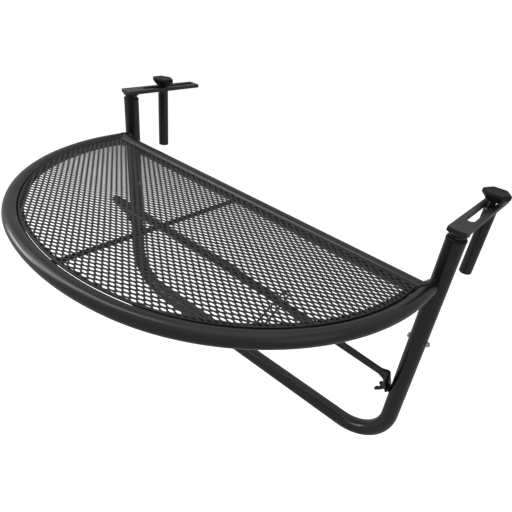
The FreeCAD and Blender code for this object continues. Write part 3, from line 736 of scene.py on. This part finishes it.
rims = [(i, j) for (i, j) in count if (j, i) not in count]
faces = list(F) + [tuple(i + n for i in q)[::-1] for q in F] + [(j, i, i + n, j + n) for i, j in rims]
sheet = make("expanded_sheet", (np.vstack([top_skin, low_skin]), faces), M_TOP, "frame", "mesh_panel",
             sharp=75)

# ------------------------------------------------------------------ centre rod
p0 = np.array([-8.0, RIM_FRONT + 10.1, -75.1])
p1 = np.array([-4.0, BACK_Y - 10.1, -75.1])
P = np.array([p0 + (p1 - p0) * t for t in np.linspace(0, 1, 40)])
make("centre_rod_bar", tube(P, 3.2, 24), M_FRAME, "frame", "centre_rod")

# ------------------------------------------------------------------ welds on the frame
beads = []
for k, sx in enumerate((-1, 1)):
    # rim onto upright
    th = np.radians(np.linspace(-62, 222, 60))
    pts = []
    for t in th:
        x = A + 9.5 * math.cos(t)
        z = RIM_Z + 9.5 * math.sin(t)
        dx = x - HALF
        y = min(-math.sqrt(max(0.0, 12.5 ** 2 - dx ** 2)), RIM_END + 0.1)
        pts.append((sx * x, y - 0.1, z))
    beads.append(bead(pts, 0.7, seed=k))
    # back tube onto rim
    th = np.radians(np.linspace(0, 360, 72, endpoint=False))
    pts = [(sx * (A - abs(10.3 * math.cos(t)) - 0.25), BACK_Y + 10.3 * math.cos(t), RIM_Z + 10.3 * math.sin(t)) for t in th]
    beads.append(bead(pts, 1.35, closed=True, seed=10 + k))
# rod ends
for k, (p, d) in enumerate(((p0, 1), (p1, -1))):
    th = np.radians(np.linspace(0, 360, 30, endpoint=False))
    pts = [(p[0] + 3.4 * math.cos(t), p[1] + d * 0.5, p[2] + 3.4 * math.sin(t)) for t in th]
    beads.append(bead(pts, 1.1, closed=True, pitch=1.8, seed=20 + k))
# tacks between the ring and the tubes round it
tack_at = outline(9.6, yb)
tt = np.r_[0, np.cumsum(np.linalg.norm(np.diff(tack_at, axis=0), axis=1))]
for k, u in enumerate((0.03, 0.13, 0.24, 0.35, 0.66, 0.76, 0.87, 0.97)):
    s = u * tt[-1]
    pts = []
    for e in np.linspace(-5, 5, 12):
        pts.append((np.interp(s + e, tt, tack_at[:, 0]), np.interp(s + e, tt, tack_at[:, 1]), -72.6))
    beads.append(bead(pts, 1.5, seed=30 + k))
for k, x in enumerate((-230, -110, 20, 130, 240)):
    pts = [(x + e, BACK_Y - 9.8, -72.6) for e in np.linspace(-5, 5, 12)]
    beads.append(bead(pts, 1.4, seed=50 + k))
# spatter beside the joints
for k in range(26):
    sx = -1 if k % 2 else 1
    r = 0.3 + 0.45 * rng.rand()
    t = math.radians(rng.uniform(20, 200))
    y = -rng.uniform(17, 34)
    c = (sx * (A + 9.95 * math.cos(t)), y, RIM_Z + 9.95 * math.sin(t))
    if abs(y - BACK_Y) < 12 and math.cos(t) < -0.2:
        continue
    beads.append(lathe([(0, -r), (r * 0.75, -r * 0.6), (r, 0), (r * 0.75, r * 0.6), (0, r)], 10, c))
make("frame_welds", beads, M_WELD, "frame", sharp=60)

# ------------------------------------------------------------------ clamp plates, stems, bushes, rear tubes
PW = 12.5


def rounded_rect(x0, x1, y0, y1, r, n=6):
    out = []
    for cx, cy, a0 in ((x1 - r, y0 + r, 270), (x1 - r, y1 - r, 0), (x0 + r, y1 - r, 90), (x0 + r, y0 + r, 180)):
        for k in range(n + 1):
            t = math.radians(a0 + 90 * k / n)
            out.append((cx + r * math.cos(t), cy + r * math.sin(t)))
    return out


def slot_loop(y0, y1, r, n=16):
    out = []
    for k in range(n + 1):
        t = math.radians(180 + 180 * k / n)
        out.append((r * math.cos(t), y0 + r + r * math.sin(t)))
    for k in range(n + 1):
        t = math.radians(180 * k / n)
        out.append((r * math.cos(t), y1 - r + r * math.sin(t)))
    return out


for side, sx in (("left", -1), ("right", 1)):
    stem, clamp, knob = side + "_stem", side + "_clamp", side + "_knob"
    x0 = sx * HALF
    v, f = slab(rounded_rect(-PW, PW, -11.0, 147.0, 1.6), [slot_loop(25.5, 140.0, 5.25)], 0.0, 6.0, 0.6, "plate_tmp_" + side)
    v = v + np.array([x0, 0, 0])
    make("plate_" + side, (v, f), M_PLATE, stem, "slot_plate_" + side, sharp=35)

    # stem: CAD part keeps its slot, the weld that joins it to the plate goes round it
    nodes["stem_" + side].data.materials.clear()
    nodes["stem_" + side].data.materials.append(M_FRAME)
    th = np.radians(np.linspace(0, 360, 60, endpoint=False))
    ring = [(x0 + 11.0 * math.cos(t), 11.0 * math.sin(t), -0.9) for t in th]
    lumps = [bead(ring, 1.75, closed=True, pitch=2.6, seed=70 + (sx > 0), grow=0.3)]
    make("weld_neck_" + side, lumps, M_WELD, stem, sharp=60)

    # guide bush
    prof = [(10.1, -31.5), (10.5, -32.0), (10.5, -10.02), (12.55, -10.0), (12.8, -9.8), (12.82, -9.3), (12.7, -8.9),
            (12.35, -8.1), (11.9, -7.45), (11.4, -6.95), (11.0, -6.7), (10.7, -6.62), (10.3, -6.7), (10.1, -6.95)]
    make("bush_" + side, lathe(prof, 56, (x0, 0, 0), closed=True), M_KNOB, "frame", "post_bushing_" + side,
         sharp=50)

    # rear tube, open below, turned edges
    yc = CLAMP_Y[side]
    prof = [(7.5, -0.5), (7.8, -0.1), (8.7, -0.1), (9.0, -0.4)]
    prof += [(9.0, z) for z in np.linspace(-8, -100, 14)]
    prof += [(9.0, -103.4), (8.92, -103.8), (8.7, -104.05), (8.3, -104.1), (7.8, -104.1), (7.55, -103.9), (7.5, -103.5)]
    prof += [(7.5, z) for z in (-90, -60, -30)]
    make("clamp_tube_" + side, lathe(prof[::-1], 56, (x0, yc, 0), closed=True), M_FRAME, clamp, "rear_tube_" + side,
         sharp=50)
    nodes["tube_insert_" + side].data.materials.clear()
    nodes["tube_insert_" + side].data.materials.append(M_ZINC)

    # screw with rolled thread
    make("screw_" + side, thread(4.0, 1.25, -26.0, 17.0, (x0, yc, 0), (0, 0, 1)), M_DARK, knob, "clamp_bolt_" + side,
         sharp=50)

    # knob: six rounded corners, flat top, drawn in below to a round hub
    seg = 96
    ang = np.linspace(0, 2 * math.pi, seg, endpoint=False)
    hexa = np.zeros(seg)
    pw_ = 44.0
    for k in range(6):
        hexa += np.clip(np.cos(ang - math.radians(60 * k + 30)), 0, None) ** pw_
    hexa = hexa ** (-1 / pw_)
    hexa /= hexa.max()

    def ring_at(r, z, roundness=0.0):
        return (r * (hexa * (1 - roundness) + roundness * hexa.min() * 1.03), z)

    prof = [(4.05, 6.7), (5.8, 6.5), (6.3, 6.8), (6.5, 8.7), (6.9, 9.0), (11.6, 9.0), (12.3, 9.3), (12.6, 10.0)]
    prof += [ring_at(13.6, 11.0, 0.8), ring_at(15.2, 12.0, 0.5), ring_at(16.9, 13.0, 0.25), ring_at(18.2, 14.0, 0.1),
             ring_at(18.8, 14.6), ring_at(19.0, 15.2), ring_at(19.02, 17.75), ring_at(19.14, 17.9), ring_at(19.02, 18.05),
             ring_at(18.98, 19.3), ring_at(18.75, 19.9), ring_at(18.2, 20.45), ring_at(17.2, 20.82), ring_at(15.6, 20.97),
             ring_at(13.8, 20.98, 0.2), (11.2, 20.9), (10.6, 20.6), (9.8, 20.55), (0.0, 20.6)]
    vv, ff = lathe(prof, seg, (x0, yc, 0), turn=math.radians(KNOB_TURN[side]))
    make("clamp_knob_" + side, (vv, ff), M_KNOB, knob, "knob_" + side, sharp=40)

# ------------------------------------------------------------------ height bolts and nuts
bolt_parts, nut_parts = [], []
for sx, turn in ((-1, 12.0), (1, 24.0)):
    ax = (sx, 0, 0)
    inner, outer = HALF - POST_R, HALF + POST_R
    v, f = hex_head(7.0, 2.8, (sx * (inner + 0.02), 0, BOLT_Z), (-sx, 0, 0), turn)
    bolt_parts.append((v, f))
    bolt_parts.append(thread(2.0, 0.7, inner - 0.5, 327.5, (0, 0, BOLT_Z), ax, seg=20))
    nut_parts.append(hex_head(7.0, 3.2, (sx * outer, 0, BOLT_Z), ax, turn + 17.0, bore=1.95, both=True))
make("bolts_height", bolt_parts, M_ZINC, "frame", "height_bolts", sharp=35)
make("nuts_height", nut_parts, M_ZINC, "frame", "height_nuts", sharp=35)

# ------------------------------------------------------------------ strut
V1 = np.array([120.0, -166.3, -83.7])
V2 = np.array([293.7, -25.0, -229.0])
PV = np.array([293.7, 0.0, PIVOT_Z])
leg, foot = unit(V2 - V1), unit(PV - V2)
bend_pts = [PV + foot * 8.5, V2, V1, V1 * (-1, 1, 1), V2 * (-1, 1, 1), (PV + foot * 8.5) * (-1, 1, 1)]
P = runs(bend_pts, [9.0, 24.0, 24.0, 9.0], step=3.5, run=9.0)
# more points where the tube is flattened and where its end is round
dense = []
for p, q in zip(P[:-1], P[1:]):
    lng = np.linalg.norm(q - p)
    low = min(p[2], q[2]) < -205
    m = max(1, int(lng / 1.2)) if low else 1
    for k in range(m):
        dense.append(p + (q - p) * k / m)
dense.append(P[-1])
P = np.array(dense)
dist_end = np.r_[0, np.cumsum(np.linalg.norm(np.diff(P, axis=0), axis=1))]
total = dist_end[-1]
u = np.minimum(dist_end, total - dist_end)          # from the nearer end
keep_rows = (u > 0.02) | True
in_plane = unit(np.cross(foot, (1.0, 0, 0)))
seg = 40
ang = np.linspace(0, 2 * math.pi, seg, endpoint=False)
foot_len = np.linalg.norm(PV - V2) + 8.5
V = []
T, _, _ = transport(P)
for i, p in enumerate(P):
    t = T[i]
    third = unit(np.cross(t, in_plane))
    sd = unit(np.cross(third, t))
    s = u[i]
    # 0 = round tube, 1 = flat
    f = 1 - min(1.0, max(0.0, (s - (foot_len - 4.0)) / 20.0))
    f = f * f * (3 - 2 * f)
    a_ = 5.0 + 3.5 * f
    b_ = 5.0 - 3.2 * f
    pw_ = 2.0 + 1.4 * f
    if s < 8.5:
        w = math.sqrt(max(0.0, 1 - ((8.5 - s) / 8.5) ** 2))
        a_ *= max(w, 0.03)
        b_ *= 0.55 + 0.45 * min(1.0, s / 1.2)
    c_, s_ = np.cos(ang), np.sin(ang)
    xx = a_ * np.sign(c_) * np.abs(c_) ** (2 / pw_)
    yy = b_ * np.sign(s_) * np.abs(s_) ** (2 / pw_)
    V.append(p + sd * xx[:, None] + third * yy[:, None])
V = np.vstack(V)
n = len(P)
F = []
for i in range(n - 1):
    for k in range(seg):
        m = (k + 1) % seg
        F.append((i * seg + k, (i + 1) * seg + k, (i + 1) * seg + m, i * seg + m))
F.append(tuple(range(seg)))
F.append(tuple((n - 1) * seg + k for k in range(seg))[::-1])
strut = make("strut_tube", (V, F), M_FRAME, "strut_body", "strut", sharp=45)


def drill(ob, centres, axis, r, length):
    """Cuts round holes, then leaves plain mesh."""
    parts = [lathe([(0, -length / 2), (r, -length / 2), (r, length / 2), (0, length / 2)], 40, c, axis) for c in centres]
    vs, fs, at = [], [], 0
    for v, f in parts:
        vs.append(v)
        fs += [tuple(i + at for i in q) for q in f]
        at += len(v)
    me = bpy.data.meshes.new("drill")
    me.from_pydata((np.vstack(vs) * MM).tolist(), [], fs)
    tool = bpy.data.objects.new("drill", me)
    bpy.context.scene.collection.objects.link(tool)
    md = ob.modifiers.new("holes", "BOOLEAN")
    md.object = tool
    md.operation = "DIFFERENCE"
    md.solver = "EXACT"
    dg = bpy.context.evaluated_depsgraph_get()
    done = bpy.data.meshes.new_from_object(ob.evaluated_get(dg))
    ob.modifiers.clear()
    ob.data = done
    bpy.data.objects.remove(tool)
    done.shade_smooth()
    done.set_sharp_from_angle(angle=math.radians(45))


drill(strut, [PV, PV * (-1, 1, 1)], (1.0, 0, 0), 3.05, 12.0)

# ------------------------------------------------------------------ pivots
stud, spacer, washer = [], [], []
for sx in (-1, 1):
    ax = (sx, 0, 0)
    c = (0, 0, PIVOT_Z)
    stud.append(thread(3.0, 1.0, 279.5, 299.4, c, ax, seg=20))
    spacer.append(lathe([(3.05, 295.75), (3.4, 295.75), (5.75, 295.75), (6.0, 296.0), (6.0, 297.2), (5.75, 297.45), (3.4, 297.45),
                         (3.05, 297.45)], 40, c, ax, closed=True))
    washer.append(lathe([(3.15, 290.4), (3.3, 290.4), (6.0, 290.4), (6.25, 290.65), (6.25, 291.55), (6.0, 291.8), (3.3, 291.8),
                         (3.15, 291.8)], 40, c, ax, closed=True))
make("studs_pivot", stud, M_DARK, "frame", "pivot_studs", sharp=50)
make("spacers_pivot", spacer, M_DARK, "frame", "pivot_spacers", sharp=35)
make("washers_strut", washer, M_DARK, "strut_body", "strut_washers", sharp=35)

# wing nuts: the CAD shape with cast, rounded edges
for side in ("left", "right"):
    src = nodes["wing_nut_" + side]
    tmp = bpy.data.objects.new("tmp_wing", src.data.copy())
    bpy.context.scene.collection.objects.link(tmp)
    tmp.matrix_world = src.matrix_world.copy()
    re = tmp.modifiers.new("cast", "REMESH")
    re.mode = "VOXEL"
    re.voxel_size = 0.00034
    sm = tmp.modifiers.new("round", "SMOOTH")
    sm.factor = 0.6
    sm.iterations = 9
    dg = bpy.context.evaluated_depsgraph_get()
    me = bpy.data.meshes.new_from_object(tmp.evaluated_get(dg))
    me.transform(tmp.matrix_world)
    v = np.array([x.co[:] for x in me.vertices]) / MM
    f = [tuple(q.vertices) for q in me.polygons]
    bpy.data.objects.remove(tmp)
    make("wing_" + side, (v, f), M_DARK, side + "_wing_nut", "wing_nut_" + side, sharp=None)

# ------------------------------------------------------------------ double-wire loop
root = np.array([215.0, -252.0, RIM_Z - 9.0])
tip = np.array([161.0, -111.0, RIM_Z - 45.0])
run_dir = unit(tip - root)
over = unit(np.cross(leg, run_dir))
if over[2] < 0:
    over = -over
across = unit(np.cross(over, run_dir))
lift = 5.0 + 1.25 + 0.6 - np.dot(root - V1, over)
root2 = root + over * lift
tip2 = tip + over * lift
g2 = 4.0
tip_c = tip2 - run_dir * g2
pts = [root2 + across * g2]
m = 24
pts = [root2 + run_dir * 6.7 + across * g2 + (tip_c - root2 - run_dir * 6.7) * t for t in np.linspace(0, 1, m)]
for k in range(1, 17):
    t = math.pi * k / 16
    pts.append(tip_c + across * g2 * math.cos(t) + run_dir * g2 * math.sin(t))
pts += [tip_c - across * g2 + (root2 + run_dir * 6.7 - tip_c) * t for t in np.linspace(0, 1, m)[1:]]
make("wire_loop", tube(np.array(pts), 1.25, 16), M_FRAME, "frame", "stop_wire")
wire_welds = []
for k, e in enumerate((1, -1)):
    p = root2 + run_dir * 6.7 + across * g2 * e
    d = run_dir
    wire_welds.append(bead([p - d * 1.5, p, p + d * 2.5, p + d * 4.0], 1.9, seed=90 + k, pitch=1.7))
make("weld_wire", wire_welds, M_WELD, "frame", sharp=60)

# ------------------------------------------------------------------ floor, light, camera
def pale(name):
    m, t, p = new_mat(name)
    vec = t.nodes.new("ShaderNodeTexCoord").outputs["Object"]
    col = ramp(t, noise(t, vec, 1.3, 3.0), 0.35, 0.7, (0.90, 0.90, 0.90), (0.93, 0.93, 0.93))
    t.links.new(col, p.inputs["Base Color"])
    t.links.new(remap(t, noise(t, vec, 40.0, 3.0), 0.3, 0.7, 0.7, 0.8), p.inputs["Roughness"])
    p.inputs["Specular IOR Level"].default_value = 0.2
    p.inputs["Emission Color"].default_value = (1, 1, 1, 1)
    p.inputs["Emission Strength"].default_value = 0.5
    return m


FLOOR_Z = -1000.0
n = 24
g = np.linspace(-9000, 9000, n)
fv = np.array([(x, y, FLOOR_Z) for y in g for x in g])
ff = [(j * n + i, j * n + i + 1, (j + 1) * n + i + 1, (j + 1) * n + i) for j in range(n - 1) for i in range(n - 1)]
floor = make("floor", (fv, ff), pale("pale_floor"), None, stage=True, sharp=None)
floor.visible_diffuse = False
floor.visible_glossy = False


def area(name, loc, target, size, power, size_y=None, color=(1, 1, 1)):
    li = bpy.data.lights.new(name, "AREA")
    li.energy = power
    li.color = color
    li.shape = "RECTANGLE"
    li.size = size
    li.size_y = size_y or size
    ob = bpy.data.objects.new(name, li)
    bpy.context.scene.collection.objects.link(ob)
    ob.location = loc
    ob.rotation_mode = "QUATERNION"
    ob.rotation_quaternion = (Vector(target) - Vector(loc)).to_track_quat("-Z", "Y")
    return ob


area("light_top", (0.1, -0.1, 1.9), (0, -0.15, -0.1), 2.2, 4.0, 1.6)
area("light_left", (-1.8, -1.0, 0.9), (0, -0.1, -0.15), 1.2, 4.0, 1.6)
area("light_right", (1.9, -0.6, 0.7), (0.1, -0.1, -0.2), 1.0, 1.8, 1.4)
area("light_low", (-2.2, -1.34, 0.15), (-0.05, -0.3, -0.07), 0.8, 7.0, 0.6).visible_camera = False
area("light_strip", (-1.6, -1.34, 1.70), (0.0, -0.3, -0.07), 0.65, 20.0, 3.0).visible_camera = False

world = bpy.data.worlds.new("studio")
bpy.context.scene.world = world
world.use_nodes = True
wt = world.node_tree
bg = wt.nodes["Background"]
bg.inputs["Strength"].default_value = 2.0
# soft studio sky: bright overhead, dim near the horizon, dark below
sky_at = wt.nodes.new("ShaderNodeTexCoord")
sky_xyz = wt.nodes.new("ShaderNodeSeparateXYZ")
wt.links.new(sky_at.outputs["Generated"], sky_xyz.inputs[0])
sky_fac = wt.nodes.new("ShaderNodeMapRange")
sky_fac.inputs[1].default_value, sky_fac.inputs[2].default_value = -1.0, 1.0
wt.links.new(sky_xyz.outputs["Z"], sky_fac.inputs[0])
sky = wt.nodes.new("ShaderNodeValToRGB")
for _ in range(3):
    sky.color_ramp.elements.new(0.5)
for el, (at, val) in zip(sky.color_ramp.elements, ((0.0, 0.19), (0.45, 0.24), (0.53, 0.23), (0.66, 0.25), (0.86, 0.31))):
    el.position = at
    el.color = (val, val, val, 1)
wt.links.new(sky_fac.outputs[0], sky.inputs["Fac"])
wt.links.new(sky.outputs["Color"], bg.inputs["Color"])
white = wt.nodes.new("ShaderNodeBackground")
white.inputs["Color"].default_value = (1, 1, 1, 1)
white.inputs["Strength"].default_value = 1.1
seen = wt.nodes.new("ShaderNodeLightPath")
both = wt.nodes.new("ShaderNodeMixShader")
wt.links.new(seen.outputs["Is Camera Ray"], both.inputs[0])
wt.links.new(bg.outputs[0], both.inputs[1])
wt.links.new(white.outputs[0], both.inputs[2])
wt.links.new(both.outputs[0], wt.nodes["World Output"].inputs["Surface"])

sc = bpy.context.scene
sc.view_settings.view_transform = "Standard"
sc.view_settings.look = "None"
sc.view_settings.exposure = 0.0

AZ, EL, ROLL = 0.6003911375446382, 0.5848768829971144, 0.15912579704494367
back = Vector((math.sin(AZ) * math.cos(EL), -math.cos(AZ) * math.cos(EL), math.sin(EL)))
fwd = -back
right = fwd.cross(Vector((0, 0, 1))).normalized()
up = right.cross(fwd)
r2 = math.cos(ROLL) * right + math.sin(ROLL) * up
u2 = -math.sin(ROLL) * right + math.cos(ROLL) * up
cam = bpy.data.objects.new("camera", bpy.data.cameras.new("camera"))
bpy.context.scene.collection.objects.link(cam)
cam.data.lens = 33.12
cam.data.sensor_width = 36.0
cam.data.shift_x = -0.0604
cam.data.shift_y = 0.0361
cam.data.clip_start, cam.data.clip_end = 0.02, 60.0
mat = Matrix((r2, u2, back)).transposed().to_4x4()
mat.translation = Vector((0.4351, -0.5157, 0.2325))
cam.matrix_world = mat
sc.camera = cam
